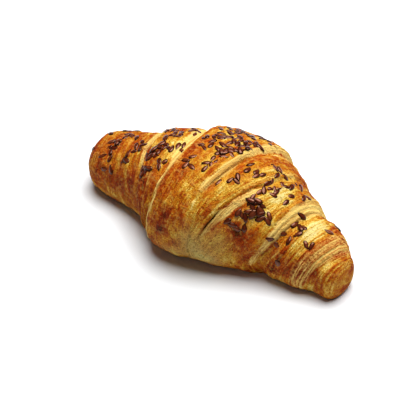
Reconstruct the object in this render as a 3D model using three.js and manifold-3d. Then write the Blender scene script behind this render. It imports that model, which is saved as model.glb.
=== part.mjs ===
// A baked croissant topped with linseed, as one closed solid in millimetres.
//
// X runs along the roll, from the thick horn (-X) to the slim horn (+X), -Y is the
// front, +Z is up, and the croissant rests on the flat underside at z = 0.
// The dough is seven wraps of one rolled triangle. The middle wrap lies outermost,
// and at each fold line the wrap nearer the middle laps over its neighbour.

import * as THREE from "three";
import { mergeVertices } from "three/addons/utils/BufferGeometryUtils.js";
import Module from "manifold-3d";

// Overall size of the roll, in millimetres.
const thickTip = -87.5; // X of the two horns' tips
const slimTip = 85.5;
const thickCap = 19; // length of the rounded end of each horn
const slimCap = 10;
const thickCapPower = 3; // above 2 the end is blunter than a round one
const slimCapPower = 2.8;
const widestLevel = 0.43; // height of the widest line, as a share of the height
const undersideDepth = 1.22; // how far the lower half would reach if no tray cut it
const upperPower = 2.15; // 2 is an ellipse, more is boxier
const lowerPower = 2.4;

// Half-widths and heights at eleven even stations from the thick horn to the slim one.
const frontReach = [18.5, 20.2, 23, 30, 39.5, 41.2, 35, 26, 20.8, 17.2, 15];
const backReach = [16.5, 20, 26.5, 33, 39.4, 44, 43.4, 34.8, 25.6, 18, 10];
const rollHeight = [31.5, 34, 40.7, 49, 54.5, 56.6, 56, 48, 38.4, 31, 23.2];

// The section of a lap, as steps outward along X and steps away from the axis.
// It starts on the upper wrap, turns over the lip and ends in the valley beyond it.
const tuckedLap = {
  outward: [-3, -1.2, 0.1, 0.5, 0.7, 0.9, 1.6, 3.2],
  away: [1.2, 1.35, 0.9, 0, -1.2, -2.2, -2.5, -1.9],
};
const openLap = {
  outward: [-2.8, -1.2, 0.2, 1, 1.6, 2.1, 2.9, 4.4],
  away: [1.1, 1.2, 0.7, -0.3, -1.3, -2.2, -2.4, -1.8],
};
const layeredLap = {
  outward: [-4, -2.2, -1.5, 0.2, 0.9, 2.6, 3.3, 5],
  away: [1.2, 1.1, 0.3, 0.2, -0.8, -0.9, -2, -2.1],
};

// Fold lines from left to right. Each gives its X at six angles round the roll,
// from the front of the base (-30 degrees) over the top (90) to the underside (270).
// side is the way the lap faces along X, and rise scales its depth.
const foldAngleStart = -30;
const foldAngleStep = 60;
const folds = [
  { x: [-31.5, -37.5, -44.5, -47.5, -46, -38], side: -1, rise: 0.85, lap: openLap },
  { x: [-25, -20, -19, -23, -29, -28], side: -1, rise: 1.1, lap: tuckedLap },
  { x: [4, 3, 10.2, 19.5, 22, 14], side: 1, rise: 0.75, lap: openLap, opensFrom: 45 },
  { x: [7.5, 15.2, 29.4, 37.2, 40, 26], side: 1, rise: 0.35, lap: tuckedLap, opensFrom: -8 },
  { x: [35, 44.2, 49, 54.5, 57, 48], side: 1, rise: 0.9, lap: layeredLap },
  { x: [65, 69, 74.6, 76.5, 76.5, 70], side: 1, rise: 0.6, lap: layeredLap },
];
const foldFadeIn = 25; // degrees over which a partial fold opens
const foldCloses = 250; // and the angle at which it has closed again
const foldRoom = 9; // laps narrow where fold lines run closer together than this
const foldTight = 0.5; // and are narrowest where they run this close
const narrowestLap = 0.2; // share of the full width
const lapBlend = 0.4; // share of a wrap over which the step of its lap fades
const crown = [0.6, -0.2, 0.9, 0.2, 0.5, 0.4, 0.2]; // rounding of each wrap's middle

// Slow swells that make the wraps uneven, as waves along X that bend round the roll.
const swells = [
  { height: 0.55, wave: 9, bend: 2.1, phase: 0.6, round: 2, drift: 23 },
  { height: 0.35, wave: 5.2, bend: 1.6, phase: 2.2, round: 3, drift: 31 },
];

// Linseed: size of one grain and where the baker's sprinkling landed.
const seedLength = 5.8;
const seedWidth = 3.0;
const seedRise = 0.95; // from the rim to the ridge
const seedKeel = 0.55; // from the rim down to the lowest point
const ridgeFront = 0.22; // ends of the ridge, as shares of the length
const ridgeRear = -0.26;
const seedSizeSpread = 0.12;
const seedSunk = 0.11; // how far the rim lies below the skin
const seedGap = 2.7; // centres of grains lying flat keep this distance
const seedLift = 1; // a grain that finds no room lies this much higher
const flatTilt = 0.25; // spread of the tilt in radians, for a grain on the skin
const piledTilt = 0.4; // and for one across others
const seedAttempts = 12;
const degreesPerMm = 1.6; // turn round the roll for a millimetre over its skin
const seedRandom = 11;

// Where the sprinkling landed: X, angle round the roll, grains, and spread in mm.
const sprinkling = [
  // thick horn
  [-78, 95, 1, 2], [-84, 50, 1, 2], [-71, 78, 4, 3], [-69, 62, 3, 3.5], [-70, 49, 2, 3.5],
  [-65, 24, 2, 4], [-71, 120, 3, 5], [-65, 97, 5, 5], [-55, 78, 4, 6], [-54, 67, 2, 4],
  [-55, 51, 2, 3],
  // the narrow wrap beside it
  [-43, 108, 4, 4], [-34, 102, 5, 4.5], [-40, 92, 2, 2], [-35, 82, 5, 4], [-38, 68, 7, 4.5],
  [-28, 63, 3, 4], [-36, 46, 5, 3.5], [-26, 86, 4, 5], [-29, 114, 4, 5],
  // middle wrap
  [-11, 93, 4, 4], [-10, 106, 5, 3.5], [-10, 72, 4, 4], [0, 73, 3, 3], [1, 82, 2, 2.5],
  [-1, 95, 7, 4], [4, 90, 4, 3], [1, 105, 3, 3], [-12, 120, 5, 5], [-9, 129, 3, 4],
  [-1, 124, 6, 6], [8, 108, 7, 4], [10, 125, 4, 6], [5, 142, 1, 6],
  // the wrap that opens on top
  [10, 66, 1, 1], [18, 71, 3, 3], [18, 90, 2, 3], [25, 91, 3, 3], [27, 108, 3, 6],
  // the wrap beyond the slit
  [28, 80, 2, 4], [34, 91, 7, 4.5], [37, 108, 4, 5], [42, 94, 2, 4], [40, 122, 2, 5],
  [47, 116, 2, 3], [30, 66, 5, 3], [34, 61, 5, 3.5], [34, 53, 6, 4],
  [40, 57, 2, 3], [29, 46, 3, 3], [25, 31, 2, 2.5], [33, 30, 2, 5],
  // the last wrap before the slim horn
  [54, 78, 3, 3.5], [53, 94, 1, 1], [57, 66, 1, 1], [64, 61, 2, 3.5], [52, 52, 2, 3],
  [48, 33, 2, 4], [52, 7, 1, 1], [69, 106, 1, 2], [65, 137, 1, 3],
  // more along the crest
  [-4, 112, 3, 4], [6, 98, 3, 3], [-16, 100, 2, 3], [12, 114, 2, 3],
];

// Mesh density.
const sides = 28;
const ringsPerWrap = [5, 3, 4, 2, 3, 3, 5];
const ringsPerFold = 5;
const sideCrowding = 10; // degrees by which the sides draw together on top
const tipCrowding = 1.8; // power by which the rings draw together at the tips
const bisections = 24;
const mergeDistance = 1e-4;

const radians = (degrees) => (degrees * Math.PI) / 180;
const mix = (a, b, share) => a + (b - a) * share;
const clamp = (value, low, high) => Math.min(high, Math.max(low, value));
const ease = (share) => {
  const s = clamp(share, 0, 1);
  return s * s * (3 - 2 * s);
};

// A smooth curve through evenly spaced values. at counts in steps from the first.
function through(values, at, closed = false) {
  const n = values.length;
  const i = closed ? Math.floor(at) : clamp(Math.floor(at), 0, n - 2);
  const f = at - i;
  const pick = (k) => values[closed ? ((k % n) + n) % n : clamp(k, 0, n - 1)];
  const [a, b, c, d] = [pick(i - 1), pick(i), pick(i + 1), pick(i + 2)];
  const slope = (c - a) / 2;
  const nextSlope = (d - b) / 2;
  return (
    b * (1 + 2 * f) * (1 - f) ** 2 +
    slope * f * (1 - f) ** 2 +
    c * f * f * (3 - 2 * f) +
    nextSlope * f * f * (f - 1)
  );
}

function foldX(fold, angle) {
  return through(fold.x, (angle - foldAngleStart) / foldAngleStep, true);
}

function foldStrength(fold, angle) {
  if (fold.opensFrom === undefined) return fold.rise;
  const past = Math.min(angle - fold.opensFrom, foldCloses - angle);
  return fold.rise * ease(past / foldFadeIn);
}

function lapWidth(number, angle) {
  const here = foldX(folds[number], angle);
  let room = foldRoom;
  for (const neighbour of [folds[number - 1], folds[number + 1]]) {
    if (neighbour) room = Math.min(room, Math.abs(foldX(neighbour, angle) - here));
  }
  return clamp((room - foldTight) / (foldRoom - foldTight), narrowestLap, 1);
}

// X and distance from the smooth roll at a share of the way across a lap.
function lapPoint(number, share, angle) {
  const fold = folds[number];
  const along = (fold.side > 0 ? share : 1 - share) * (fold.lap.away.length - 1);
  const outward = through(fold.lap.outward, along) * lapWidth(number, angle);
  return {
    x: foldX(fold, angle) + fold.side * outward,
    away: foldStrength(fold, angle) * through(fold.lap.away, along),
  };
}

// The same for a wrap, between the laps on either side of it.
function wrapPoint(wrap, share, angle) {
  const first = wrap === 0;
  const last = wrap === folds.length;
  const from = first ? { x: thickTip, away: 0 } : lapPoint(wrap - 1, 1, angle);
  const to = last ? { x: slimTip, away: 0 } : lapPoint(wrap, 0, angle);
  let along = share;
  if (first) along = share ** tipCrowding;
  if (last) along = 1 - (1 - share) ** tipCrowding;
  const leaving = ease(share / lapBlend);
  const arriving = ease((1 - share) / lapBlend);
  return {
    x: mix(from.x, to.x, along),
    away:
      from.away * (1 - leaving) +
      to.away * (1 - arriving) +
      crown[wrap] * Math.min(leaving, arriving),
  };
}

// station counts wraps and folds in turn: 0 to 1 is the first wrap, 1 to 2 the first
// fold, and so on to 13 at the slim horn's tip.
const stations = 2 * folds.length + 1;

function rollPoint(station, angle) {
  const part = clamp(Math.floor(station), 0, stations - 1);
  const share = station - part;
  return part % 2 === 0
    ? wrapPoint(part / 2, share, angle)
    : lapPoint((part - 1) / 2, share, angle);
}

function swell(x, angle) {
  const a = radians(angle);
  let height = 0;
  for (const s of swells) {
    const wave = Math.sin(x / s.wave + s.bend * Math.sin(a + s.phase));
    height += s.height * wave * Math.sin(s.round * a + x / s.drift);
  }
  return height;
}

const power = (value, exponent) => Math.sign(value) * Math.abs(value) ** exponent;

// A point of the dough's skin, with the tray's plane cutting the underside flat.
function skin(station, angle) {
  const { x, away } = rollPoint(station, angle);
  const along = (10 * (x - thickTip)) / (slimTip - thickTip);
  const intoThick = clamp((thickTip + thickCap - x) / thickCap, 0, 1);
  const intoSlim = clamp((x - slimTip + slimCap) / slimCap, 0, 1);
  const cap =
    (1 - intoThick ** thickCapPower) ** (1 / thickCapPower) *
    (1 - intoSlim ** slimCapPower) ** (1 / slimCapPower);
  const toFront = Math.cos(radians(angle));
  const toTop = Math.sin(radians(angle));
  const reach = through(toFront > 0 ? frontReach : backReach, along);
  const height = through(rollHeight, along);
  const level = widestLevel * height;
  const exponent = 2 / (toTop > 0 ? upperPower : lowerPower);
  const rise = toTop > 0 ? height - level : undersideDepth * level;
  let y = -reach * cap * power(toFront, exponent);
  let z = rise * cap * power(toTop, exponent);
  const distance = Math.hypot(y, z);
  const stretch = distance > 0 ? 1 + ((away + swell(x, angle)) * cap) / distance : 1;
  y *= stretch;
  z = Math.max(0, level + z * stretch);
  return new THREE.Vector3(x, y, z);
}

// Angles round the roll, wider apart on the flat underside.
function roundAngles() {
  const angles = [];
  for (let i = 0; i < sides; i++) {
    const turn = (i / sides) * 360;
    angles.push(-90 + turn + sideCrowding * Math.sin(radians(turn)));
  }
  return angles;
}

function ringStations() {
  const list = [];
  for (let part = 0; part < stations; part++) {
    const count = part % 2 === 0 ? ringsPerWrap[part / 2] : ringsPerFold;
    for (let i = 0; i < count; i++) list.push(part + i / count);
  }
  return list.slice(1);
}

function doughGeometry() {
  const angles = roundAngles();
  const rings = ringStations();
  const points = [skin(0, 0)];
  for (const station of rings) {
    for (const angle of angles) points.push(skin(station, angle));
  }
  const tip = points.length;
  points.push(skin(stations, 0));
  const at = (ring, side) => 1 + ring * sides + (side % sides);
  const index = [];
  for (let s = 0; s < sides; s++) {
    index.push(0, at(0, s), at(0, s + 1));
    index.push(tip, at(rings.length - 1, s + 1), at(rings.length - 1, s));
    for (let r = 0; r < rings.length - 1; r++) {
      index.push(at(r, s), at(r + 1, s), at(r + 1, s + 1));
      index.push(at(r, s), at(r + 1, s + 1), at(r, s + 1));
    }
  }
  const geometry = new THREE.BufferGeometry().setFromPoints(points);
  geometry.setIndex(index);
  return geometry;
}

// One grain lying along X: a six-sided rim, a short ridge above it and a point below.
function grainGeometry() {
  const rim = [
    [0.5, 0],
    [0.2, 0.5],
    [-0.28, 0.42],
    [-0.5, 0],
    [-0.28, -0.42],
    [0.2, -0.5],
  ];
  const points = rim.map(
    ([along, across]) => new THREE.Vector3(along * seedLength, across * seedWidth, 0),
  );
  points.push(new THREE.Vector3(ridgeFront * seedLength, 0, seedRise));
  points.push(new THREE.Vector3(ridgeRear * seedLength, 0, seedRise));
  points.push(new THREE.Vector3(0, 0, -seedKeel));
  const [front, rear, below] = [6, 7, 8];
  const index = [
    [0, 1, front],
    [1, 2, front],
    [2, rear, front],
    [2, 3, rear],
    [3, 4, rear],
    [4, front, rear],
    [4, 5, front],
    [5, 0, front],
  ];
  for (let i = 0; i < rim.length; i++) index.push([below, (i + 1) % rim.length, i]);
  const geometry = new THREE.BufferGeometry().setFromPoints(points);
  geometry.setIndex(index.flat());
  return geometry;
}

// Repeatable random numbers from 0 to 1.
function makeRandom(seed) {
  let state = seed;
  return () => {
    state = (state + 0x6d2b79f5) >>> 0;
    let mixed = Math.imul(state ^ (state >>> 15), state | 1);
    mixed ^= mixed + Math.imul(mixed ^ (mixed >>> 7), mixed | 61);
    return ((mixed ^ (mixed >>> 14)) >>> 0) / 4294967296;
  };
}

function stationAt(x, angle) {
  let low = 0;
  let high = stations;
  for (let i = 0; i < bisections; i++) {
    const middle = (low + high) / 2;
    if (rollPoint(middle, angle).x < x) low = middle;
    else high = middle;
  }
  return (low + high) / 2;
}

// The skin's point, outward normal and direction along the roll at X and an angle.
function seat(x, angle) {
  const reachAlong = 1.2;
  const reachRound = 1.5;
  const point = skin(stationAt(x, angle), angle);
  const along = skin(stationAt(x + reachAlong, angle), angle);
  along.sub(skin(stationAt(x - reachAlong, angle), angle)).normalize();
  const round = skin(stationAt(x, angle + reachRound), angle + reachRound);
  round.sub(skin(stationAt(x, angle - reachRound), angle - reachRound)).normalize();
  const normal = new THREE.Vector3().crossVectors(round, along).negate().normalize();
  return { point, normal, along };
}

// Places every grain at the first of its random spots that is clear of the grains
// before it, or across them on its last one.
function placeGrains() {
  const random = makeRandom(seedRandom);
  const placed = [];
  for (const [x, angle, grains, spread] of sprinkling) {
    for (let grain = 0; grain < grains; grain++) {
      const spots = [];
      for (let attempt = 0; attempt < seedAttempts; attempt++) {
        const radius = spread * Math.sqrt(random());
        const heading = 2 * Math.PI * random();
        const turned = angle + radius * Math.sin(heading) * degreesPerMm;
        spots.push(seat(x + radius * Math.cos(heading), turned));
      }
      const isClear = (spot) =>
        placed.every((other) => other.point.distanceTo(spot.point) > seedGap);
      const clear = spots.find(isClear);
      placed.push({
        ...(clear ?? spots[seedAttempts - 1]),
        yaw: 2 * Math.PI * random(),
        size: 1 + seedSizeSpread * (2 * random() - 1),
        tilt: (random() - 0.5) * (clear ? flatTilt : piledTilt),
        lift: clear ? 0 : seedLift,
      });
    }
  }
  return placed;
}

// The grain's place on the skin, as a matrix.
function grainMatrix({ point, normal, along, yaw, size, tilt, lift }) {
  const frame = new THREE.Matrix4().makeBasis(
    along,
    new THREE.Vector3().crossVectors(normal, along),
    normal,
  );
  const place = point.clone().addScaledVector(normal, lift - seedSunk);
  return new THREE.Matrix4()
    .setPosition(place)
    .multiply(frame)
    .multiply(new THREE.Matrix4().makeRotationZ(yaw))
    .multiply(new THREE.Matrix4().makeRotationY(tilt))
    .multiply(new THREE.Matrix4().makeScale(size, size, size));
}

const wasm = await Module();
wasm.setup();

function toSolid(geometry) {
  const bare = geometry.clone();
  bare.deleteAttribute("normal");
  bare.deleteAttribute("uv");
  const merged = mergeVertices(bare, mergeDistance);
  return new wasm.Manifold(
    new wasm.Mesh({
      numProp: 3,
      vertProperties: merged.attributes.position.array,
      triVerts: new Uint32Array(merged.index.array),
    }),
  );
}

function toGeometry(solid) {
  const mesh = solid.getMesh();
  const geometry = new THREE.BufferGeometry();
  geometry.setAttribute("position", new THREE.BufferAttribute(mesh.vertProperties, 3));
  geometry.setIndex(new THREE.BufferAttribute(mesh.triVerts, 1));
  geometry.computeVertexNormals();
  return geometry;
}

// The grains are fused to the dough. Only the outer shell is kept, so that a pocket
// closed off between grains is filled.
function fusedCroissant() {
  const grain = grainGeometry();
  let solid = toSolid(doughGeometry());
  for (const place of placeGrains()) {
    solid = solid.add(toSolid(grain.clone().applyMatrix4(grainMatrix(place))));
  }
  return solid.decompose().sort((a, b) => b.volume() - a.volume())[0];
}

const bakedDough = new THREE.MeshStandardMaterial({
  color: 0xc8832f,
  roughness: 0.45,
  metalness: 0,
});

const croissant = new THREE.Mesh(toGeometry(fusedCroissant()), bakedDough);
croissant.name = "croissant";

const group = new THREE.Group();
group.add(croissant);

export default group;
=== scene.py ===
import math

import bpy
import numpy as np
from mathutils import Matrix, Vector, noise


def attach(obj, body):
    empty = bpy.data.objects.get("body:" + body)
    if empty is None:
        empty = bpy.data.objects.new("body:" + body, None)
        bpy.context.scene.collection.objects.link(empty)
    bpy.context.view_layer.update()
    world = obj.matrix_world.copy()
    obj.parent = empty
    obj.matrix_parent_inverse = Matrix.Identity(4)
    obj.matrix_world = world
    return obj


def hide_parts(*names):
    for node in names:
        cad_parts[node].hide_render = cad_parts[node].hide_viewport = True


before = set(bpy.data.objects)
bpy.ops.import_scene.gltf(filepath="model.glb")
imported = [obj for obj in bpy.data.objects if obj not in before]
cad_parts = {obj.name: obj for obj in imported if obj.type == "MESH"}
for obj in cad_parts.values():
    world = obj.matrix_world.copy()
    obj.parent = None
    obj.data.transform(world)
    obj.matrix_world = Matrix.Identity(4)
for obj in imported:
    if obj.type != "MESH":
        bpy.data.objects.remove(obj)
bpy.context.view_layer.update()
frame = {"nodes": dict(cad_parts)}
print("frame loaded:", ", ".join(frame["nodes"]))

mm = 0.001  # the shape is worked out in millimetres, as it was in the solid, and stored in metres
tiny = 1e-6  # keeps a value just off an edge

# The rolled dough. X runs along the roll, angles go round it from the front (0) over the top (90).
roll = {
    "tips": (-87.5, 85.5),  # X of the thick horn's tip and of the slim one's
    "caps": (19, 10),  # length of each horn's rounded end
    "capPowers": (3.0, 2.8),
    "level": 0.43,  # widest line, as a share of the height
    "underside": 1.22,
    "upperPower": 2.15,
    "lowerPower": 2.4,
    # eleven even stations from the thick horn to the slim one
    "front": [18.5, 20.2, 23, 30, 39.5, 41.2, 35, 26, 20.8, 17.2, 15],
    "back": [16.5, 20, 26.5, 33, 39.4, 44, 43.4, 34.8, 25.6, 18, 10],
    "height": [31.5, 34, 40.7, 49, 54.5, 56.6, 56, 48, 38.4, 31, 23.2],
    "crown": [0.6, -0.2, 0.9, 0.2, 0.5, 0.4, 0.2],  # rounding of each wrap's middle
    "lapBlend": 0.4,  # share of a wrap over which the step of its lap fades
    "tipCrowding": 1.8,  # power by which the rings draw together at the tips
    "sideCrowding": 10,  # degrees by which the sides draw together on top
    # slow waves along X that bend round the roll: height, wave, bend, phase, round, drift
    "swells": [(0.55, 9, 2.1, 0.6, 2, 23), (0.35, 5.2, 1.6, 2.2, 3, 31)],
}

# How a wrap ends over its neighbour: steps outward along X and away from the axis.
tuckedLap = {
    "outward": [-3, -1.2, 0.1, 0.5, 0.7, 0.9, 1.6, 3.2],
    "away": [1.2, 1.35, 0.9, 0, -1.2, -2.2, -2.5, -1.9],
}
openLap = {
    "outward": [-2.8, -1.2, 0.2, 1, 1.6, 2.1, 2.9, 4.4],
    "away": [1.1, 1.2, 0.7, -0.3, -1.3, -2.2, -2.4, -1.8],
}
layeredLap = {
    "outward": [-4, -2.2, -1.5, 0.2, 0.9, 2.6, 3.3, 5],
    "away": [1.2, 1.1, 0.3, 0.2, -0.8, -0.9, -2, -2.1],
}

# X of each fold line at six even angles, and the way its lap faces.
folds = [
    {"x": [-31.5, -37.5, -44.5, -47.5, -46, -38], "side": -1, "rise": 0.85, "lap": openLap},
    {"x": [-25, -20, -19, -23, -29, -28], "side": -1, "rise": 1.1, "lap": tuckedLap},
    {"x": [4, 3, 10.2, 19.5, 22, 14], "side": 1, "rise": 0.75, "lap": openLap, "opensFrom": 45},
    {"x": [7.5, 15.2, 29.4, 37.2, 40, 26], "side": 1, "rise": 0.35, "lap": tuckedLap, "opensFrom": -8},
    {"x": [35, 44.2, 49, 54.5, 57, 48], "side": 1, "rise": 0.9, "lap": layeredLap},
    {"x": [65, 69, 74.6, 76.5, 76.5, 70], "side": 1, "rise": 0.6, "lap": layeredLap},
]
foldFrom = -30  # degrees, the first of the six angles
foldStep = 60
foldRoom = 9  # laps narrow where fold lines run closer together than this
foldTight = 0.5  # and are at their narrowest this close
narrowestLap = 0.2  # share of the full width
foldFadeIn = 25  # degrees over which a partial fold opens
foldCloses = 250  # and the angle at which it has closed again
parts = 2 * len(folds) + 1  # wraps and laps in turn, counted by station


def ease(share):
    share = np.clip(share, 0, 1)
    return share * share * (3 - 2 * share)


# smooth curve through evenly spaced values, at counted in steps
def through(values, at, closed=False):
    values = np.asarray(values, float)
    count = len(values)
    at = np.asarray(at, float)
    step = np.floor(at).astype(int)
    if not closed:
        step = np.clip(step, 0, count - 2)
    share = at - step

    def pick(number):
        return values[number % count] if closed else values[np.clip(number, 0, count - 1)]

    before, start, end, after = pick(step - 1), pick(step), pick(step + 1), pick(step + 2)
    leaving = (end - before) / 2 * share * (1 - share) ** 2
    arriving = (after - start) / 2 * share * share * (share - 1)
    fromStart = start * (1 + 2 * share) * (1 - share) ** 2
    return fromStart + leaving + end * share * share * (3 - 2 * share) + arriving


def foldX(number, angle):
    return through(folds[number]["x"], (angle - foldFrom) / foldStep, closed=True)


def foldStrength(number, angle):
    fold = folds[number]
    if "opensFrom" not in fold:
        return fold["rise"] + 0 * angle
    past = np.minimum(angle - fold["opensFrom"], foldCloses - angle)
    return fold["rise"] * ease(past / foldFadeIn)


def lapWidth(number, angle):
    room = foldRoom + 0 * angle
    for neighbour in (number - 1, number + 1):
        if 0 <= neighbour < len(folds):
            room = np.minimum(room, abs(foldX(neighbour, angle) - foldX(number, angle)))
    return np.clip((room - foldTight) / (foldRoom - foldTight), narrowestLap, 1)


def lapPoint(number, share, angle):
    fold = folds[number]
    lap = fold["lap"]
    along = (share if fold["side"] > 0 else 1 - share) * (len(lap["outward"]) - 1)
    outward = through(lap["outward"], along) * lapWidth(number, angle)
    away = foldStrength(number, angle) * through(lap["away"], along)
    return foldX(number, angle) + fold["side"] * outward, away


def wrapPoint(wrap, share, angle):
    isFirst, isLast = wrap == 0, wrap == len(folds)
    fromX, fromAway = (roll["tips"][0], 0) if isFirst else lapPoint(wrap - 1, 1 + 0 * share, angle)
    toX, toAway = (roll["tips"][1], 0) if isLast else lapPoint(wrap, 0 * share, angle)
    along = share
    if isFirst:
        along = share ** roll["tipCrowding"]
    if isLast:
        along = 1 - (1 - share) ** roll["tipCrowding"]
    leaving = ease(share / roll["lapBlend"])
    arriving = ease((1 - share) / roll["lapBlend"])
    crown = roll["crown"][wrap] * np.minimum(leaving, arriving)
    away = fromAway * (1 - leaving) + toAway * (1 - arriving) + crown
    return fromX + (toX - fromX) * along, away


def rollPoint(station, angle):
    station, angle = np.broadcast_arrays(np.asarray(station, float), np.asarray(angle, float))
    part = np.clip(np.floor(station), 0, parts - 1).astype(int)
    x, away = np.zeros(angle.shape), np.zeros(angle.shape)
    for number in range(parts):
        here = part == number
        if here.any():
            piece = wrapPoint if number % 2 == 0 else lapPoint
            x[here], away[here] = piece(number // 2, station[here] - number, angle[here])
    return x, away


def swell(x, angle):
    turn = np.radians(angle)
    total = 0
    for height, wave, bend, phase, turns, drift in roll["swells"]:
        bent = x / wave + bend * np.sin(turn + phase)
        total = total + height * np.sin(bent) * np.sin(turns * turn + x / drift)
    return total


def signedPower(value, exponent):
    return np.sign(value) * np.abs(value) ** exponent


# the dough's skin in millimetres, with relief added to it, away from the axis
def skin(station, angle, relief=0.0):
    x, away = rollPoint(station, angle)
    (thickTip, slimTip), (thickCap, slimCap) = roll["tips"], roll["caps"]
    along = (len(roll["front"]) - 1) * (x - thickTip) / (slimTip - thickTip)
    cap = 1.0
    for into, power in zip(((thickTip - x) / thickCap, (x - slimTip) / slimCap), roll["capPowers"]):
        cap = cap * (1 - np.clip(into + 1, 0, 1) ** power) ** (1 / power)
    toFront, toTop = np.cos(np.radians(angle)), np.sin(np.radians(angle))
    reach = np.where(toFront > 0, through(roll["front"], along), through(roll["back"], along))
    height = through(roll["height"], along)
    level = roll["level"] * height
    power = 2 / np.where(toTop > 0, roll["upperPower"], roll["lowerPower"])
    rise = np.where(toTop > 0, height - level, roll["underside"] * level)
    y = -reach * cap * signedPower(toFront, power)
    z = rise * cap * signedPower(toTop, power)
    distance = np.hypot(y, z)
    stretch = 1 + (away + swell(x, angle) + relief) * cap / np.maximum(distance, tiny)
    return np.stack([x, y * stretch, np.maximum(level + z * stretch, 0)], -1)


# The finer skin that baking gives: everything here is in millimetres.
crust = {
    "ringGap": 0.58,  # between rings of the mesh along a wrap
    "fewestRings": 6,
    "lapRings": 28,
    "sides": 254,
    "blister": (5.5, 0.5),  # size and height
    "pucker": (2.2, 0.34),
    "stretchMark": (1.7, 14, 0.34),  # width along the roll, length round it, height
    "layerEdge": (1.1, 30, 0.32),  # the edges of the dough's layers where a lap shows them
    "layerSharpness": 3,
    "raggedEdge": (3.0, 0.3),  # how a lap's lip frays
    "blistersLost": 0.6,  # share of the blisters' height that bare dough lacks
    "wander": (7.0, 2.2),  # how the edges of bare strips and slits stray
    "stripShift": 0.5,  # share of the straying that moves a strip as a whole
    "stripFade": (2.2, 16),  # softness of a strip, in mm across it and degrees at its ends
    "slitShift": 0.15,
    "slitFade": 14,
    "slitOpens": (0.8, 0.2, 1.2),  # share of its depth, before it strays, and the least and most
    # what each noise is shifted by, so that no two of them agree
    "shift": {
        "blister": 3.1,
        "pucker": 7.7,
        "stretchMark": 1.3,
        "layerEdge": 5.0,
        "raggedEdge": 9.4,
        "wander": 4.4,
    },
    "streakAngle": 60.0,  # where the X is read that streaks keep as they run round
    "middle": 22,  # height from which lengths round the roll are measured
    "drawnFrom": (36, 68),  # X between which the dough gets more and more streaky
    "bakeLevel": 0.455,  # 0 is cream, 1 is nearly burnt
}

# Where the egg wash never reached, and two lips that also carry painted highlight: from which fold,
# and at which angles the strip runs between which two distances outward of it.
bareAndLitStrips = [
    # beside the thick horn
    {
        "fold": 0,
        "edges": [(10, 0, 0.6), (38, 0, 1.2), (55, 0, 4.2), (75, 0, 6), (110, 0, 7), (215, 0, 6)],
        "amount": 0.78,
    },
    # beside the middle wrap's left lap, and the lap's own pale cut lip, with painted highlight along it
    {
        "fold": 1,
        "edges": [(46, -0.6, 1.6), (62, -0.4, 4), (82, 0, 7.6), (100, 0, 8.4), (215, 1, 7)],
        "amount": 1.3,
    },
    {
        "fold": 1,
        "edges": [(-25, -1.8, 0.9), (20, -1.2, 1.6), (48, 0.2, 3.4), (75, -0.6, 2.2)],
        "amount": 1.25,
    },
    # the open lap on top
    {"fold": 2, "edges": [(52, -1.2, 2.6), (66, -1.4, 2.4), (92, -1.4, 2), (215, -2, 2)], "amount": 0.95},
    {"fold": 2, "edges": [(116, 3, 5), (130, 3, 8), (165, 3, 12)], "amount": 0.5},
    # under the slit, where the next wrap slid out
    {
        "fold": 3,
        "edges": [
            (6, 1.2, 3),
            (20, 1.2, 4.6),
            (38, 1.2, 6.2),
            (55, 1.2, 6.2),
            (66, 1.2, 4.5),
            (80, 1.2, 3),
        ],
        "amount": 0.74,
    },
    # the lip over the slit: pale dough, with painted highlight along it
    {"fold": 3, "edges": [(60, -1.6, 0.2), (140, -1.6, 0.2)], "amount": 0.35},
    # the layered laps toward the slim horn
    {"fold": 4, "edges": [(-30, 0.8, 1.0), (-4, 0, 2.2), (20, -0.6, 3.2), (42, -0.9, 3)], "amount": 0.62},
    {"fold": 4, "edges": [(32, -0.8, 3), (55, -1.6, 3), (90, -2.2, 4), (215, -3, 4)], "amount": 1.0},
    {
        "fold": 5,
        "edges": [(-30, -6, 1), (25, -6, 3), (60, -6, 4.6), (110, -5, 5), (215, -4, 5)],
        "amount": 0.5,
    },
]

# The slits under a lap, cut in and darkened by painted shade: fold, distance outward, width, depth, and
# between which angles.
slits = [
    {"fold": 0, "at": 2.2, "wide": 0.7, "deep": 0.7, "angles": (-30, 60)},
    {"fold": 1, "at": 1.3, "wide": 0.6, "deep": 0.9, "angles": (-30, 60)},
    {"fold": 3, "at": 0.9, "wide": 0.45, "deep": 0.9, "angles": (6, 36)},
    {"fold": 4, "at": 3.0, "wide": 0.5, "deep": 0.45, "angles": (-5, 75)},
]

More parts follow.
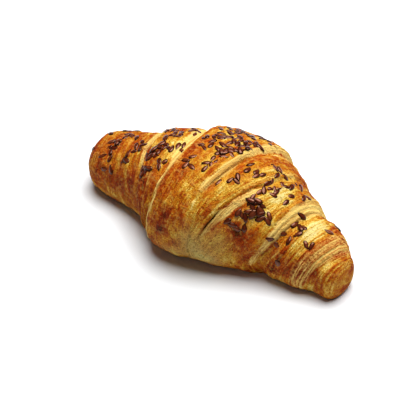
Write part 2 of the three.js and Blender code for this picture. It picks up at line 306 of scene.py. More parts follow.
# Patches that took more or less heat: X, angle, reach along and round, and how much browner.
heatPatches = [
    # thick horn
    (-80, 52, 8, 34, 0.18),
    (-60, 8, 16, 26, 0.16),
    (-48, 30, 5, 14, 0.22),
    (-64, 72, 11, 18, 0.1),
    (-52, 56, 4, 20, -0.16),
    # narrow wrap
    (-33, 38, 6, 18, 0.28),
    (-36, 5, 8, 18, 0.18),
    (-28, 86, 7, 16, -0.2),
    (-25, 66, 3, 14, -0.1),
    # middle wrap
    (-8, 22, 5, 8, 0.32),
    (-11, 4, 4, 6, 0.42),
    (1, 26, 2.4, 12, 0.12),
    (8, 34, 6, 16, -0.06),
    (-14, 48, 6, 16, 0.12),
    (-2, 50, 8, 16, -0.04),
    (-16, -18, 8, 12, 0.26),
    (-16, 75, 2.5, 16, 0.24),
    (-4, 92, 14, 22, -0.1),
    (6, 58, 4, 14, -0.1),
    # the wrap that opens on top
    (14, 60, 5, 16, -0.24),
    (22, 92, 6, 26, -0.06),
    (27, 112, 5, 14, 0.12),
    (15, 43, 2.5, 8, 0.12),
    # the wrap under the slit
    (30, 22, 4.5, 14, 0.38),
    (34, 4, 4, 10, 0.2),
    (26, 42, 3, 10, 0.2),
    (38, 84, 9, 34, -0.27),
    (42, 50, 5, 14, -0.16),
    (20, 6, 5, 14, -0.1),
    (46, 94, 4, 20, -0.14),
    # the last wrap before the slim horn
    (50, 18, 4.5, 12, 0.25),
    (57, 4, 5, 11, 0.3),
    (49, -8, 4, 12, 0.3),
    (60, 88, 8, 26, -0.4),
    (58, 48, 6, 12, -0.08),
    # slim horn
    (72, 14, 7, 18, 0.18),
    (82, 30, 4, 20, 0.06),
    (77, 50, 3.5, 14, -0.12),
    (80, 90, 6, 24, 0.06),
    (84, 60, 5, 70, 0.06),
    # far side and underside
    (0, 235, 60, 22, -0.1),
    (-70, 170, 14, 40, 0.25),
    (5, 175, 14, 25, 0.25),
    (48, 170, 8, 30, 0.3),
]

# Where flour off the board still dulls the foot of the roll: the same columns.
flouryPatches = [
    (8, -2, 7, 16, 0.65),
    (14, -20, 8, 12, 0.9),
    (-4, -22, 9, 10, 0.45),
    (21, 4, 5, 14, 0.35),
    (-60, -22, 20, 8, 0.1),
    (0, 205, 50, 16, 0.4),
]

# Where the egg wash crazed into fine pale wrinkles: the same columns.
crazedPatches = [
    (-70, 10, 22, 32, 0.65),
    (-38, 10, 12, 30, 0.6),
    (-14, -12, 16, 18, 0.8),
    (12, -6, 12, 20, 0.8),
    (28, -6, 12, 18, 0.9),
    (50, -8, 12, 18, 0.7),
    (0, 200, 80, 40, 0.6),
]


def ringStations():
    stations = []
    for part in range(parts):
        if part % 2 == 0:
            ends, _ = rollPoint([part + tiny, part + 1 - tiny], 90)
            count = max(crust["fewestRings"], round((ends[1] - ends[0]) / crust["ringGap"]))
        else:
            count = crust["lapRings"]
        stations += [part + i / count for i in range(count)]
    return np.array(stations[1:])  # the tip is a point of its own


# angles round the roll, wider apart on the flat underside
def roundAngles(sides):
    turn = np.arange(sides) / sides * 360
    return -90 + turn + roll["sideCrowding"] * np.sin(np.radians(turn))


def softBand(value, low, high, edge):
    return ease((value - low) / edge + 0.5) * ease((high - value) / edge + 0.5)


def noiseField(points, name):
    shift = crust["shift"][name]
    offset = Vector((shift, 2 * shift, -shift))
    return np.array([noise.noise(Vector(point) + offset) for point in points])


def outwardOf(number, x, angle):
    return folds[number]["side"] * (x - foldX(number, angle))


def bareAndLitShare(x, angle, stray):
    bare = np.zeros(x.shape)
    for strip in bareAndLitStrips:
        angles, inner, outer = np.array(strip["edges"], float).T
        low, high = np.interp(angle, angles, inner), np.interp(angle, angles, outer)
        off = outwardOf(strip["fold"], x, angle) + crust["stripShift"] * stray
        across = softBand(off, low, high + stray, crust["stripFade"][0])
        within = softBand(angle, angles[0], angles[-1], crust["stripFade"][1])
        bare = np.maximum(bare, strip["amount"] * across * within)
    return bare


def slitDepth(x, angle, stray):
    deepest = np.zeros(x.shape)
    usual, least, most = crust["slitOpens"]
    for slit in slits:
        off = outwardOf(slit["fold"], x, angle) - slit["at"] + crust["slitShift"] * stray
        off = off / slit["wide"]
        within = softBand(angle, *slit["angles"], crust["slitFade"]) * np.clip(usual + stray, least, most)
        deepest = np.maximum(deepest, slit["deep"] * within * np.exp(-off * off))
    return deepest


def patchField(patches, x, angle):
    total = np.zeros(x.shape)
    for patchX, patchAngle, alongReach, roundReach, amount in patches:
        gap = (angle - patchAngle + 180) % 360 - 180
        total += amount * np.exp(-(((x - patchX) / alongReach) ** 2) - (gap / roundReach) ** 2)
    return total


def buildCrust():
    stations = ringStations()
    angles = roundAngles(crust["sides"])
    station, angle = np.meshgrid(stations, angles, indexing="ij")
    shape = station.shape
    x = rollPoint(station, angle)[0]
    smooth = skin(station, angle)
    # along keeps to the fold lines, so what is narrow along it runs beside them
    along = rollPoint(station, np.full(shape, crust["streakAngle"]))[0]
    arc = np.radians(angle) * np.hypot(smooth[..., 1], smooth[..., 2] - crust["middle"])

    # noise of the same size every way, and noise drawn out round the roll
    even = {}
    for name in ("wander", "blister", "pucker", "raggedEdge"):
        even[name] = noiseField(smooth.reshape(-1, 3) / crust[name][0], name).reshape(shape)
    drawnOut = {}
    for name in ("stretchMark", "layerEdge"):
        wide, long = crust[name][:2]
        flow = np.stack([along / wide, arc / long, 0 * arc], -1)
        drawnOut[name] = noiseField(flow.reshape(-1, 3), name).reshape(shape)

    stray = crust["wander"][1] * even["wander"]
    bare = bareAndLitShare(x, angle, stray)
    # the slits' depth, cut into the relief and also used for their painted shade
    slit = slitDepth(x, angle, stray)
    onLap = np.floor(station).astype(int) % 2
    relief = crust["blister"][1] * even["blister"] * (1 - crust["blistersLost"] * bare)
    relief += crust["pucker"][1] * even["pucker"]
    relief += crust["stretchMark"][2] * drawnOut["stretchMark"]
    relief += crust["layerEdge"][2] * bare * (1 - crust["layerSharpness"] * np.abs(drawnOut["layerEdge"]))
    relief += crust["raggedEdge"][1] * onLap * even["raggedEdge"]
    relief -= slit

    points = skin(station, angle, relief).reshape(-1, 3)
    tips = skin(np.array([0.0, parts]), np.array([0.0, 0.0]))
    vertices = np.concatenate([points, tips]) * mm
    rings, sides = shape
    ring, side = np.meshgrid(np.arange(rings - 1), np.arange(sides), indexing="ij")
    after = (side + 1) % sides
    corners = (ring * sides + side, (ring + 1) * sides + side)
    cornersAfter = ((ring + 1) * sides + after, ring * sides + after)
    faces = np.stack([*corners, *cornersAfter], -1).reshape(-1, 4).tolist()
    first, last = rings * sides, rings * sides + 1
    for here in range(sides):
        beside = (here + 1) % sides
        faces.append((first, here, beside))
        faces.append((last, (rings - 1) * sides + beside, (rings - 1) * sides + here))

    mesh = bpy.data.meshes.new("crust")
    mesh.from_pydata(vertices.tolist(), [], faces)
    mesh.polygons.foreach_set("use_smooth", [True] * len(faces))

    slack, taut = crust["drawnFrom"]
    facts = {
        "bare": bare,
        "baked": crust["bakeLevel"] + patchField(heatPatches, x, angle),
        "floury": np.clip(patchField(flouryPatches, x, angle), 0, 1),
        "crazed": np.clip(patchField(crazedPatches, x, angle), 0, 1),
        # depth of the slits, which sets their painted shade
        "slit": np.clip(slit, 0, 1),
        "drawn": ease((x - slack) / (taut - slack)),
        "along": along * mm,
        "round": arc * mm,
    }
    for name, values in facts.items():
        layer = mesh.attributes.new(name, "FLOAT", "POINT")
        ends = [values[0].mean(), values[-1].mean()]
        layer.data.foreach_set("value", np.append(values.ravel(), ends).astype(np.float32))
    mesh.update()
    piece = bpy.data.objects.new("crust", mesh)
    bpy.context.scene.collection.objects.link(piece)
    print("crust:", len(vertices), "vertices")
    return piece


# Linseed, strewn by the same rule and the same random draws as on the solid.
linseed = {
    "length": 5.8,
    "width": 3.0,
    "rise": 0.95,  # above its widest line
    "keel": 0.55,  # below it
    "point": 0.5,  # how much one end is drawn to a point
    "plump": 1.14,  # makes up for what the point takes off the width
    "sizeSpread": 0.12,
    "sunk": 0.11,  # into the crust
    "gap": 2.7,  # centres of grains lying flat keep this distance
    "lift": 1,  # a grain that lies across others
    "flatTilt": 0.25,  # radians between the steepest tilts either way
    "piledTilt": 0.4,
    "attempts": 12,  # places tried for each grain
    "degreesPerMm": 1.6,  # round the roll
    "seed": 11,
    "shadeStep": 7.31,  # spreads the shades of the grains
    "segments": 8,
    "rings": 7,
}
searchSteps = 24  # each halves the gap to the station looked for
slopeReach = (1.2, 1.5)  # mm along and degrees round, between which the skin's slope is taken
# X, angle round the roll, grains, and spread in mm
sprinkling = [
    # thick horn
    [-78, 95, 1, 2], [-84, 50, 1, 2], [-71, 78, 4, 3], [-69, 62, 3, 3.5], [-70, 49, 2, 3.5],
    [-65, 24, 2, 4], [-71, 120, 3, 5], [-65, 97, 5, 5], [-55, 78, 4, 6], [-54, 67, 2, 4],
    [-55, 51, 2, 3],
    # the narrow wrap beside it
    [-43, 108, 4, 4], [-34, 102, 5, 4.5], [-40, 92, 2, 2], [-35, 82, 5, 4], [-38, 68, 7, 4.5],
    [-28, 63, 3, 4], [-36, 46, 5, 3.5], [-26, 86, 4, 5], [-29, 114, 4, 5],
    # middle wrap
    [-11, 93, 4, 4], [-10, 106, 5, 3.5], [-10, 72, 4, 4], [0, 73, 3, 3], [1, 82, 2, 2.5],
    [-1, 95, 7, 4], [4, 90, 4, 3], [1, 105, 3, 3], [-12, 120, 5, 5], [-9, 129, 3, 4],
    [-1, 124, 6, 6], [8, 108, 7, 4], [10, 125, 4, 6], [5, 142, 1, 6],
    # the wrap that opens on top
    [10, 66, 1, 1], [18, 71, 3, 3], [18, 90, 2, 3], [25, 91, 3, 3], [27, 108, 3, 6],
    # the wrap beyond the slit
    [28, 80, 2, 4], [34, 91, 7, 4.5], [37, 108, 4, 5], [42, 94, 2, 4], [40, 122, 2, 5],
    [47, 116, 2, 3], [30, 66, 5, 3], [34, 61, 5, 3.5], [34, 53, 6, 4],
    [40, 57, 2, 3], [29, 46, 3, 3], [25, 31, 2, 2.5], [33, 30, 2, 5],
    # the last wrap before the slim horn
    [54, 78, 3, 3.5], [53, 94, 1, 1], [57, 66, 1, 1], [64, 61, 2, 3.5], [52, 52, 2, 3],
    [48, 33, 2, 4], [52, 7, 1, 1], [69, 106, 1, 2], [65, 137, 1, 3],
    # more along the crest
    [-4, 112, 3, 4], [6, 98, 3, 3], [-16, 100, 2, 3], [12, 114, 2, 3],
]


# repeatable random numbers from 0 to 1
def drawNumbers(seed):
    state = seed
    whole = 0xFFFFFFFF
    stride = 0x6D2B79F5
    while True:
        state = (state + stride) & whole
        mixed = ((state ^ (state >> 15)) * (state | 1)) & whole
        mixed ^= (mixed + (((mixed ^ (mixed >> 7)) * (mixed | 61)) & whole)) & whole
        yield ((mixed ^ (mixed >> 14)) & whole) / (whole + 1)


def stationAt(x, angle):
    low, high = np.zeros(x.shape), np.full(x.shape, float(parts))
    for _ in range(searchSteps):
        middle = (low + high) / 2
        before = rollPoint(middle, angle)[0] < x
        low = np.where(before, middle, low)
        high = np.where(before, high, middle)
    return (low + high) / 2


def unit(vectors):
    return vectors / np.linalg.norm(vectors, axis=-1, keepdims=True)


# point, outward normal and direction along the roll, for arrays of X and angle
def seats(x, angle):
    alongReach, roundReach = slopeReach
    point = skin(stationAt(x, angle), angle)
    ahead = skin(stationAt(x + alongReach, angle), angle)
    ahead = ahead - skin(stationAt(x - alongReach, angle), angle)
    turned = skin(stationAt(x, angle + roundReach), angle + roundReach)
    turned = turned - skin(stationAt(x, angle - roundReach), angle - roundReach)
    along = unit(ahead)
    return point, -unit(np.cross(unit(turned), along)), along


def strewGrains():
    draw = drawNumbers(linseed["seed"])
    attempts = linseed["attempts"]
    spots, spins = [], []
    for x, angle, count, spread in sprinkling:
        for _ in range(count):
            for _ in range(attempts):
                radius = spread * math.sqrt(next(draw))
                heading = 2 * math.pi * next(draw)
                turned = radius * math.sin(heading) * linseed["degreesPerMm"]
                spots.append((x + radius * math.cos(heading), angle + turned))
            spins.append((next(draw), next(draw), next(draw)))
    spots = np.array(spots)
    point, normal, along = seats(spots[:, 0], spots[:, 1])

    placed, grains = [], []
    for number, (spin, grow, lean) in enumerate(spins):
        tries = range(number * attempts, (number + 1) * attempts)
        isClear = [
            all(np.linalg.norm(point[spot] - other) > linseed["gap"] for other in placed) for spot in tries
        ]
        clear = any(isClear)
        spot = tries[isClear.index(True) if clear else -1]
        placed.append(point[spot])
        tilt = (lean - 0.5) * (linseed["flatTilt"] if clear else linseed["piledTilt"])
        lift = (0 if clear else linseed["lift"]) - linseed["sunk"]
        across = np.cross(normal[spot], along[spot])
        basis = Matrix(np.stack([along[spot], across, normal[spot]], -1).tolist())
        turn = basis @ Matrix.Rotation(2 * math.pi * spin, 3, "Z") @ Matrix.Rotation(tilt, 3, "Y")
        grains.append(
            {
                "place": (point[spot] + normal[spot] * lift) * mm,
                "turn": turn.to_euler(),
                "size": 1 + linseed["sizeSpread"] * (2 * grow - 1),
                "shade": (spin * linseed["shadeStep"] + lean) % 1,
            }
        )
    print("linseed:", len(grains), "grains,", sum(g["size"] > 1 for g in grains), "above the mean size")
    return grains


# sRGB hex to the linear colour that the shader takes
def paint(code):
    channels = [int(code[i : i + 2], 16) / 255 for i in (0, 2, 4)]
    return tuple(c / 12.92 if c <= 0.04045 else ((c + 0.055) / 1.055) ** 2.4 for c in channels) + (1,)


# adds a node; settings are its properties, and links maps an input to a value or an output
def addNode(tree, kind, settings=None, links=None):
    node = tree.nodes.new(kind)
    for name, value in (settings or {}).items():
        setattr(node, name, value)
    for key, value in (links or {}).items():
        socket = node.inputs[key]
        if isinstance(value, bpy.types.NodeSocket):
            tree.links.new(value, socket)
        else:
            socket.default_value = value
    return node


def newMaterial(name):
    material = bpy.data.materials.new(name)
    material.use_nodes = True
    material.node_tree.nodes.clear()
    return material, material.node_tree


# A thin wheat crust, brushed with egg before baking: glossy where the egg browned, matt and pale where the
# laps kept it off, with small pits, pale blisters a few millimetres across that also carry painted
# highlight, and painted shade in the slits.
bakedCrust = {
    "colours": [
        (0.0, "E8D288"),
        (0.12, "DAB852"),
        (0.25, "C9942C"),
        (0.4, "B86E14"),
        (0.57, "A5470C"),
        (0.76, "872608"),
        (1.0, "481204"),
    ],
    "bare": "E8C670",
    "bareLine": "B0782A",
    "flour": "C4B066",
    "pit": "5A2A06",
    "pitShare": (0.5, 0.85),  # on clean crust and where flour dulls it
    "pitsOnBare": 0.2,  # bare dough shows fewer
    "wrinkle": 2.9 * mm,  # across one cell of crazed egg wash
    "wrinklePush": (2.2 * mm, 2.6 * mm),  # size of the noise that bends wrinkles, and how far
    "wrinkleTop": "E0A64C",
    "wrinkleShare": 0.4,
    "paleAndLitFleck": "E2AE52",
    "paleAndLitFleckShare": 0.3,  # blisters are paler, being thinner, with painted highlight where light would catch them
    # painted shade in the slits under the laps
    "slit": "3A1E06",
    "glaze": "F4B46A",  # what the browned egg lets through of a highlight
    "blotch": (0.008, 0.016),  # metres along the roll and round it
    "smear": (0.0028, 0.008),
    "streak": (0.001, 0.018),
    "layer": (0.0007, 0.03),
    "octaves": {"blotch": 3.0, "smear": 3.0, "streak": 1.5, "layer": 1.0, "blister": 2.0, "speck": 2.0},
    "noiseRoughness": 0.6,
    "blister": 2.6 * mm,
    "speck": 0.9 * mm,
    # the noise that each effect comes from, how it sets in, from where to where, and its most
    "effects": {
        # where blisters turn pale, partly painted highlight
        "paleAndLitBlisters": ("blister", "SMOOTHSTEP", 0.5, 0.66, 1.0),
        "crazing": ("smear", "SMOOTHSTEP", 0.42, 0.58, 1.0),
        "layerLines": ("layer", "LINEAR", 0.46, 0.62, 0.7),
        "pits": ("speck", "LINEAR", 0.52, 0.68, 1.0),
    },
    "wrinkleEdge": (0.02, 0.11),  # from the middle of a wrinkle to where it ends, in cells
    "wear": -1.3,  # how much a browner bake keeps bare dough back
    "bareEdge": (0.15, 0.85),
    "weights": (1.25, 0.95, 0.6),  # how much blotches, smears and specks change the bake
    "streakWeight": (0.5, 1.3),  # the same for streaks, on slack and on drawn dough
    "gloss": (0.13, 0.0),  # level of the highlights, face on and at a glancing angle
    "glossFades": (0.3, 0.75),
    "glossy": 0.32,  # roughness of the egg-washed crust
    "matt": 0.55,  # and of bare dough
    "heights": (0.45, 0.3, -0.45),  # of streaks, wrinkles and specks
    "bump": 1.7 * mm,
    "ior": 1.4,
    "scatter": 0.03,  # share of the light that scatters in the crust
    "scatterReach": (3 * mm, 1.4 * mm, 0.6 * mm),
}


def crustMaterial():
    look = bakedCrust
    material, tree = newMaterial("egg-washed wheat crust")
    facts = {}
    for name in ("bare", "baked", "floury", "crazed", "slit", "drawn", "along", "round"):
        facts[name] = addNode(tree, "ShaderNodeAttribute", {"attribute_name": name}).outputs["Fac"]
    place = addNode(tree, "ShaderNodeTexCoord").outputs["Object"]
    flow = addNode(tree, "ShaderNodeCombineXYZ", None, {"X": facts["along"], "Y": facts["round"]})

    # noise drawn out along the folds for blotches, stretch marks and layers, and round for the rest
    noises = {}
    for name, octaves in look["octaves"].items():
        sizes = {"Detail": octaves, "Roughness": look["noiseRoughness"]}
        if name in ("blister", "speck"):
            sizes.update({"Vector": place, "Scale": 1 / look[name]})
        else:
            stretch = (1 / look[name][0], 1 / look[name][1], 0)
            stretched = addNode(
                tree,
                "ShaderNodeVectorMath",
                {"operation": "MULTIPLY"},
                {0: flow.outputs[0], 1: stretch},
            )
            sizes.update({"Vector": stretched.outputs[0], "Scale": 1.0})
        noises[name] = addNode(tree, "ShaderNodeTexNoise", None, sizes).outputs["Fac"]
    effects = {}
    for name, (source, curve, begins, isFull, most) in look["effects"].items():
        effects[name] = addNode(
            tree,
            "ShaderNodeMapRange",
            {"interpolation_type": curve},
            {"Value": noises[source], "From Min": begins, "From Max": isFull, "To Max": most},
        ).outputs[0]

    # wrinkles where the egg wash crazed: the edges of cells, pushed about by noise
    pushSize, pushReach = look["wrinklePush"]
    push = addNode(
        tree,
        "ShaderNodeTexNoise",
        None,
        {"Vector": place, "Scale": 1 / pushSize, "Detail": 2.0},
    )
    pushed = addNode(
        tree,
        "ShaderNodeVectorMath",
        {"operation": "MULTIPLY_ADD"},
        {0: push.outputs["Color"], 1: (pushReach,) * 3, 2: place},
    )
    cells = addNode(
        tree,
        "ShaderNodeTexVoronoi",
        {"feature": "DISTANCE_TO_EDGE"},
        {"Vector": pushed.outputs[0], "Scale": 1 / look["wrinkle"]},
    )
    top, foot = look["wrinkleEdge"]
    edge = addNode(
        tree,
        "ShaderNodeMapRange",
        {"interpolation_type": "SMOOTHSTEP"},
        {
            "Value": cells.outputs["Distance"],
            "From Min": top,
            "From Max": foot,
            "To Min": 1.0,
            "To Max": 0.0,
        },
    )
    crazing = addNode(
        tree,
        "ShaderNodeMath",
        {"operation": "MULTIPLY"},
        {0: effects["crazing"], 1: facts["crazed"]},
    )
    wrinkle = addNode(
        tree,
        "ShaderNodeMath",
        {"operation": "MULTIPLY"},
        {0: edge.outputs[0], 1: crazing.outputs[0]},
    )

    # the bake of each spot, and its colour
    mixture = addNode(
        tree,
        "ShaderNodeCombineXYZ",
        None,
        {"X": noises["blotch"], "Y": noises["smear"], "Z": noises["speck"]},
    )
    weighed = addNode(
        tree,
        "ShaderNodeVectorMath",
        {"operation": "DOT_PRODUCT"},
        {0: mixture.outputs[0], 1: look["weights"]},
    )
    streakWeight = addNode(
        tree,
        "ShaderNodeMapRange",
        None,
        {"Value": facts["drawn"], "To Min": look["streakWeight"][0], "To Max": look["streakWeight"][1]},
    )
    offStreak = addNode(
        tree,
        "ShaderNodeMath",
        {"operation": "SUBTRACT"},
        {0: noises["streak"], 1: 0.5},
    )
    streaked = addNode(
        tree,
        "ShaderNodeMath",
        {"operation": "MULTIPLY_ADD"},
        {0: offStreak.outputs[0], 1: streakWeight.outputs[0], 2: weighed.outputs["Value"]},
    )
    centred = addNode(
        tree,
        "ShaderNodeMath",
        {"operation": "SUBTRACT"},
        {0: streaked.outputs[0], 1: sum(look["weights"]) / 2},
    )
    bake = addNode(
        tree,
        "ShaderNodeMath",
        {"operation": "ADD", "use_clamp": True},
        {0: centred.outputs[0], 1: facts["baked"]},
    )
    ramp = addNode(tree, "ShaderNodeValToRGB", None, {"Fac": bake.outputs[0]})
    stops = ramp.color_ramp.elements
    while len(stops) < len(look["colours"]):
        stops.new(0.5)
    for stop, (position, code) in zip(stops, look["colours"]):
        stop.position = position
        stop.color = paint(code)

    # where the dough is bare, which is less where the bake is browner
    ragged = addNode(
        tree,
        "ShaderNodeMath",
        {"operation": "MULTIPLY_ADD"},
        {0: centred.outputs[0], 1: look["wear"], 2: facts["bare"]},
    )
    bareShare = addNode(
        tree,
        "ShaderNodeMapRange",
        {"interpolation_type": "SMOOTHSTEP"},
        {"Value": ragged.outputs[0], "From Min": look["bareEdge"][0], "From Max": look["bareEdge"][1]},
    )

    # pits show more in flour and less on bare dough
    pitting = addNode(
        tree,
        "ShaderNodeMapRange",
        None,
        {"Value": facts["floury"], "To Min": look["pitShare"][0], "To Max": look["pitShare"][1]},
    )
    crusted = addNode(
        tree,
        "ShaderNodeMapRange",
        None,
        {"Value": bareShare.outputs[0], "To Min": 1.0, "To Max": look["pitsOnBare"]},
    )
    pitted = addNode(
        tree,
        "ShaderNodeMath",
        {"operation": "MULTIPLY"},
        {0: pitting.outputs[0], 1: crusted.outputs[0]},
    )
    shares = {}
    for name, spread, strength in (
        ("pit", effects["pits"], pitted.outputs[0]),
        ("wrinkleTop", wrinkle.outputs[0], look["wrinkleShare"]),
        ("paleAndLitFleck", effects["paleAndLitBlisters"], look["paleAndLitFleckShare"]),
    ):
        product = addNode(tree, "ShaderNodeMath", {"operation": "MULTIPLY"}, {0: spread, 1: strength})
        shares[name] = product.outputs[0]

    # the egg-washed crust, the bare dough with the lines of its layers, and what lies over both, painted
    # highlight on the blisters and painted shade in the slits among it
    layered = addNode(
        tree,
        "ShaderNodeMix",
        {"data_type": "RGBA"},
        {0: effects["layerLines"], 6: paint(look["bare"]), 7: paint(look["bareLine"])},
    )
    colour = ramp.outputs["Color"]
    for share, over in (
        (bareShare.outputs[0], layered.outputs[2]),
        (facts["floury"], paint(look["flour"])),
        (shares["pit"], paint(look["pit"])),
        (shares["wrinkleTop"], paint(look["wrinkleTop"])),
        # pale flecks on the blisters, partly painted highlight
        (shares["paleAndLitFleck"], paint(look["paleAndLitFleck"])),
        # painted shade in the slits
        (facts["slit"], paint(look["slit"])),
    ):
        mixed = addNode(tree, "ShaderNodeMix", {"data_type": "RGBA"}, {0: share, 6: colour, 7: over})
        colour = mixed.outputs[2]

    roughness = addNode(
        tree,
        "ShaderNodeMapRange",
        None,
        {"Value": bareShare.outputs[0], "To Min": look["glossy"], "To Max": look["matt"]},
    )
    heights = addNode(
        tree,
        "ShaderNodeCombineXYZ",
        None,
        {"X": noises["streak"], "Y": wrinkle.outputs[0], "Z": noises["speck"]},
    )
    height = addNode(
        tree,
        "ShaderNodeVectorMath",
        {"operation": "DOT_PRODUCT"},
        {0: heights.outputs[0], 1: look["heights"]},
    )
    bump = addNode(
        tree,
        "ShaderNodeBump",
        None,
        {"Strength": 1.0, "Distance": look["bump"], "Height": height.outputs["Value"]},
    )
    # a pitted crust shades its own gloss at a glancing angle
    glancing = addNode(
        tree,
        "ShaderNodeLayerWeight",
        None,
        {"Blend": 0.5, "Normal": bump.outputs[0]},
    )
    gloss = addNode(
        tree,
        "ShaderNodeMapRange",
        None,
        {
            "Value": glancing.outputs["Facing"],
            "From Min": look["glossFades"][0],
            "From Max": look["glossFades"][1],
            "To Min": look["gloss"][0],
            "To Max": look["gloss"][1],
        },
    )
    shader = addNode(
        tree,
        "ShaderNodeBsdfPrincipled",
        {"subsurface_method": "RANDOM_WALK"},
        {
            "Base Color": colour,
            "Roughness": roughness.outputs[0],
            "IOR": look["ior"],
            "Specular IOR Level": gloss.outputs[0],
            "Specular Tint": paint(look["glaze"]),
            "Subsurface Weight": look["scatter"],
            "Subsurface Radius": look["scatterReach"],
            "Subsurface Scale": 1.0,
            "Normal": bump.outputs[0],
        },
    )
    addNode(tree, "ShaderNodeOutputMaterial", None, {"Surface": shader.outputs[0]})
    return material


# Brown linseed: a hard smooth coat, almost as shiny as lacquer, with painted shade darkening it round its
# widest line.
seedCoat = {
    "dark": "4C1609",
    "light": "874224",
    # painted shade, darkest round the grain's widest line
    "rim": "280B03",
    "glint": "F6B896",
    "rimFrom": (0.05, 0.5),
    "cloud": 2 * mm,  # size of the lighter and darker patches
    "roughness": 0.2,
    "ior": 1.6,
    "pit": 0.5 * mm,
    "pitDepth": 0.1 * mm,
    "pitStrength": 0.2,
}


def linseedMaterial():
    material, tree = newMaterial("brown linseed coat")
    shade = addNode(tree, "ShaderNodeAttribute", {"attribute_name": "shade"}).outputs["Fac"]
    rim = addNode(tree, "ShaderNodeAttribute", {"attribute_name": "rim"}).outputs["Fac"]
    place = addNode(tree, "ShaderNodeTexCoord").outputs["Object"]
    cloud = addNode(
        tree,
        "ShaderNodeTexNoise",
        None,
        {"Vector": place, "Scale": 1 / seedCoat["cloud"], "Detail": 2.0},
    )
    lightness = addNode(
        tree,
        "ShaderNodeMath",
        {"operation": "MULTIPLY"},
        {0: shade, 1: cloud.outputs["Fac"]},
    )
    coat = addNode(
        tree,
        "ShaderNodeMix",
        {"data_type": "RGBA"},
        {0: lightness.outputs[0], 6: paint(seedCoat["dark"]), 7: paint(seedCoat["light"])},
    )
    rimShare = addNode(
        tree,
        "ShaderNodeMapRange",
        None,
        {"Value": rim, "From Min": seedCoat["rimFrom"][0], "From Max": seedCoat["rimFrom"][1]},
    )
    # painted shade towards the grain's sides
    rimmed = addNode(
        tree,
        "ShaderNodeMix",
        {"data_type": "RGBA"},
        {0: rimShare.outputs[0], 6: coat.outputs[2], 7: paint(seedCoat["rim"])},
    )
    pits = addNode(
        tree,
        "ShaderNodeTexNoise",
        None,
        {"Vector": place, "Scale": 1 / seedCoat["pit"], "Detail": 1.0},
    )
    bump = addNode(
        tree,
        "ShaderNodeBump",
        None,
        {
            "Strength": seedCoat["pitStrength"],
            "Distance": seedCoat["pitDepth"],
            "Height": pits.outputs["Fac"],
        },
    )
    shader = addNode(
        tree,
        "ShaderNodeBsdfPrincipled",
        None,
        {
            "Base Color": rimmed.outputs[2],
            "Roughness": seedCoat["roughness"],
            "IOR": seedCoat["ior"],
            "Specular Tint": paint(seedCoat["glint"]),
            "Normal": bump.outputs[0],
        },
    )
    addNode(tree, "ShaderNodeOutputMaterial", None, {"Surface": shader.outputs[0]})
    return material


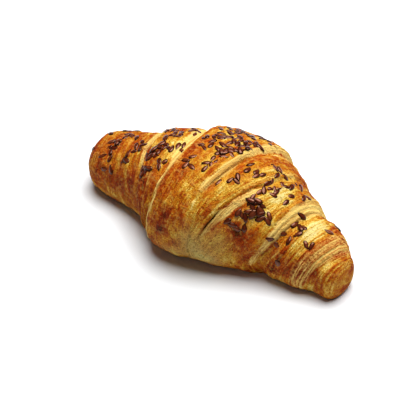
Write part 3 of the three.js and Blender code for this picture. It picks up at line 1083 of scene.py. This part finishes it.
# One teardrop grain on every point, turned and sized by the point's own attributes.
def grainTree(material):
    tree = bpy.data.node_groups.new("grainsOnPoints", "GeometryNodeTree")
    tree.interface.new_socket("Geometry", in_out="INPUT", socket_type="NodeSocketGeometry")
    for name in ("Length", "Width", "Thickness"):
        tree.interface.new_socket(name, in_out="INPUT", socket_type="NodeSocketFloat")
    tree.interface.new_socket("Geometry", in_out="OUTPUT", socket_type="NodeSocketGeometry")
    given = addNode(tree, "NodeGroupInput").outputs
    ballRadius = 0.5
    ball = addNode(
        tree,
        "GeometryNodeMeshUVSphere",
        None,
        {"Segments": linseed["segments"], "Rings": linseed["rings"], "Radius": ballRadius},
    )
    lying = addNode(
        tree,
        "GeometryNodeTransform",
        None,
        {"Geometry": ball.outputs["Mesh"], "Rotation": (0, math.pi / 2, 0)},
    )
    at = addNode(tree, "GeometryNodeInputPosition")
    split = addNode(tree, "ShaderNodeSeparateXYZ", None, {0: at.outputs[0]})
    # the end at +X stays blunt, and the width falls off with the square of the way from it
    fromBlunt = addNode(
        tree,
        "ShaderNodeMath",
        {"operation": "SUBTRACT"},
        {0: split.outputs["X"], 1: ballRadius},
    )
    pinch = addNode(
        tree,
        "ShaderNodeMath",
        {"operation": "MULTIPLY"},
        {0: fromBlunt.outputs[0], 1: fromBlunt.outputs[0]},
    )
    taper = addNode(
        tree,
        "ShaderNodeMath",
        {"operation": "MULTIPLY_ADD"},
        {0: pinch.outputs[0], 1: -linseed["point"], 2: 1.0},
    )
    slim = addNode(
        tree,
        "ShaderNodeCombineXYZ",
        None,
        {"X": 1.0, "Y": taper.outputs[0], "Z": taper.outputs[0]},
    )
    tapered = addNode(
        tree,
        "ShaderNodeVectorMath",
        {"operation": "MULTIPLY"},
        {0: at.outputs[0], 1: slim.outputs[0]},
    )
    # 1 round the grain's widest line, and 0 on top and beneath: where the painted shade of the coat falls
    above = addNode(tree, "ShaderNodeMath", {"operation": "ABSOLUTE"}, {0: split.outputs["Z"]})
    rim = addNode(
        tree,
        "ShaderNodeMath",
        {"operation": "MULTIPLY_ADD"},
        {0: above.outputs[0], 1: -1 / ballRadius, 2: 1.0},
    )
    marked = addNode(
        tree,
        "GeometryNodeStoreNamedAttribute",
        {"data_type": "FLOAT", "domain": "POINT"},
        {"Geometry": lying.outputs[0], "Name": "rim", "Value": rim.outputs[0]},
    )
    size = addNode(
        tree,
        "ShaderNodeCombineXYZ",
        None,
        {"X": given["Length"], "Y": given["Width"], "Z": given["Thickness"]},
    )
    sized = addNode(
        tree,
        "ShaderNodeVectorMath",
        {"operation": "MULTIPLY"},
        {0: tapered.outputs[0], 1: size.outputs[0]},
    )
    grain = addNode(
        tree,
        "GeometryNodeSetPosition",
        None,
        {"Geometry": marked.outputs[0], "Position": sized.outputs[0]},
    )
    turn = addNode(
        tree,
        "GeometryNodeInputNamedAttribute",
        {"data_type": "FLOAT_VECTOR"},
        {"Name": "turn"},
    )
    scale = addNode(
        tree,
        "GeometryNodeInputNamedAttribute",
        {"data_type": "FLOAT"},
        {"Name": "size"},
    )
    onPoints = addNode(
        tree,
        "GeometryNodeInstanceOnPoints",
        None,
        {
            "Points": given["Geometry"],
            "Instance": grain.outputs[0],
            "Rotation": turn.outputs[0],
            "Scale": scale.outputs[0],
        },
    )
    real = addNode(tree, "GeometryNodeRealizeInstances", None, {"Geometry": onPoints.outputs[0]})
    smooth = addNode(tree, "GeometryNodeSetShadeSmooth", None, {"Geometry": real.outputs[0]})
    coated = addNode(
        tree,
        "GeometryNodeSetMaterial",
        None,
        {"Geometry": smooth.outputs[0], "Material": material},
    )
    addNode(tree, "NodeGroupOutput", None, {"Geometry": coated.outputs[0]})
    return tree


def buildLinseed(material):
    grains = strewGrains()
    points = bpy.data.meshes.new("linseedPoints")
    points.from_pydata([grain["place"] for grain in grains], [], [])
    turn = points.attributes.new("turn", "FLOAT_VECTOR", "POINT")
    turn.data.foreach_set("vector", np.array([grain["turn"] for grain in grains]).ravel())
    for name in ("size", "shade"):
        values = points.attributes.new(name, "FLOAT", "POINT")
        values.data.foreach_set("value", [grain[name] for grain in grains])
    strewn = bpy.data.objects.new("linseedPoints", points)
    bpy.context.scene.collection.objects.link(strewn)
    modifier = strewn.modifiers.new("grains", "NODES")
    tree = grainTree(material)
    modifier.node_group = tree
    sizes = {
        "Length": linseed["length"],
        "Width": linseed["width"] * linseed["plump"],
        "Thickness": linseed["rise"] + linseed["keel"],
    }
    for item in tree.interface.items_tree:
        if item.in_out == "INPUT" and item.name in sizes:
            modifier[item.identifier] = sizes[item.name] * mm
    evaluated = strewn.evaluated_get(bpy.context.evaluated_depsgraph_get())
    mesh = bpy.data.meshes.new_from_object(evaluated)
    mesh.name = "linseed"
    bpy.data.objects.remove(strewn)
    piece = bpy.data.objects.new("linseed", mesh)
    bpy.context.scene.collection.objects.link(piece)
    print("linseed:", len(mesh.polygons), "faces")
    return piece


crustPiece = buildCrust()
crustPiece.data.materials.append(crustMaterial())
linseedPiece = buildLinseed(linseedMaterial())
for piece, slotName in ((crustPiece, "crust"), (linseedPiece, "linseed")):
    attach(piece, "root")
    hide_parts("croissant")
print("pieces in place of the solid:", crustPiece.name, "and", linseedPiece.name)

# The studio: a white sweep, a large soft light above and a little behind, a weak one in
# front, and white all round.
studio = {
    "floorSize": 1.8,
    "floor": "E9EBED",
    "floorRoughness": 0.9,
    "surround": 0.035,  # light that the walls give back
    "keyPlace": (0.0, 0.24, 1.15),
    "keySize": 1.1,
    "keyWatts": 27.5,
    "fillPlace": (0.5, -0.9, 0.9),
    "fillSize": 0.5,
    "fillWatts": 0.3,
}

floorMesh = bpy.data.meshes.new("floor")
half = studio["floorSize"] / 2
corners = [(-half, -half, 0), (half, -half, 0), (half, half, 0), (-half, half, 0)]
floorMesh.from_pydata(corners, [], [(0, 1, 2, 3)])
floor = bpy.data.objects.new("floor", floorMesh)
bpy.context.scene.collection.objects.link(floor)
floorPaint, floorNodes = newMaterial("white paper sweep")
paper = addNode(
    floorNodes,
    "ShaderNodeBsdfPrincipled",
    None,
    {"Base Color": paint(studio["floor"]), "Roughness": studio["floorRoughness"]},
)
addNode(floorNodes, "ShaderNodeOutputMaterial", None, {"Surface": paper.outputs[0]})
floorMesh.materials.append(floorPaint)

world = bpy.data.worlds.new("studio")
bpy.context.scene.world = world
world.use_nodes = True
world.node_tree.nodes.clear()
# the walls look white, but give back only a little light
seen = addNode(world.node_tree, "ShaderNodeLightPath")
glow = addNode(
    world.node_tree,
    "ShaderNodeMapRange",
    None,
    {"Value": seen.outputs["Is Camera Ray"], "To Min": studio["surround"], "To Max": 1.0},
)
walls = addNode(
    world.node_tree,
    "ShaderNodeBackground",
    None,
    {"Color": (1, 1, 1, 1), "Strength": glow.outputs[0]},
)
addNode(world.node_tree, "ShaderNodeOutputWorld", None, {"Surface": walls.outputs[0]})

middle = Vector((0, 0, 25 * mm))  # of the croissant, where the lights point


def areaLight(name, place, size, watts):
    light = bpy.data.lights.new(name, "AREA")
    light.shape = "DISK"
    light.size = size
    light.energy = watts
    lamp = bpy.data.objects.new(name, light)
    lamp.location = place
    lamp.rotation_euler = (middle - Vector(place)).to_track_quat("-Z", "Y").to_euler()
    bpy.context.scene.collection.objects.link(lamp)


areaLight("key", studio["keyPlace"], studio["keySize"], studio["keyWatts"])
areaLight("fill", studio["fillPlace"], studio["fillSize"], studio["fillWatts"])
print("studio: floor, walls and two lights")

# The photograph's view: 42 degrees down on the front and the slim horn, from 0.75 m.
view = {
    "azimuth": 35,
    "elevation": 42,
    "distance": 750 * mm,
    "focal": 114.8,  # millimetres, on a sensor of the width below
    "sensor": 36,
    "aimRight": -5.8 * mm,
    "aimUp": -7.6 * mm,
}
azimuth = math.radians(view["azimuth"])
elevation = math.radians(view["elevation"])
level = math.cos(elevation)
back = Vector((math.sin(azimuth) * level, -math.cos(azimuth) * level, math.sin(elevation)))
right = Vector((math.cos(azimuth), math.sin(azimuth), 0))
up = back.cross(right)
cameraData = bpy.data.cameras.new("camera")
cameraData.lens = view["focal"]
cameraData.sensor_width = view["sensor"]
camera = bpy.data.objects.new("camera", cameraData)
camera.location = middle + back * view["distance"]
aim = middle + right * view["aimRight"] + up * view["aimUp"]
camera.rotation_euler = (aim - camera.location).to_track_quat("-Z", "Y").to_euler()
bpy.context.scene.collection.objects.link(camera)
bpy.context.scene.camera = camera
bpy.context.scene.view_settings.view_transform = "Standard"
print("camera:", view["azimuth"], "degrees round,", view["elevation"], "down")
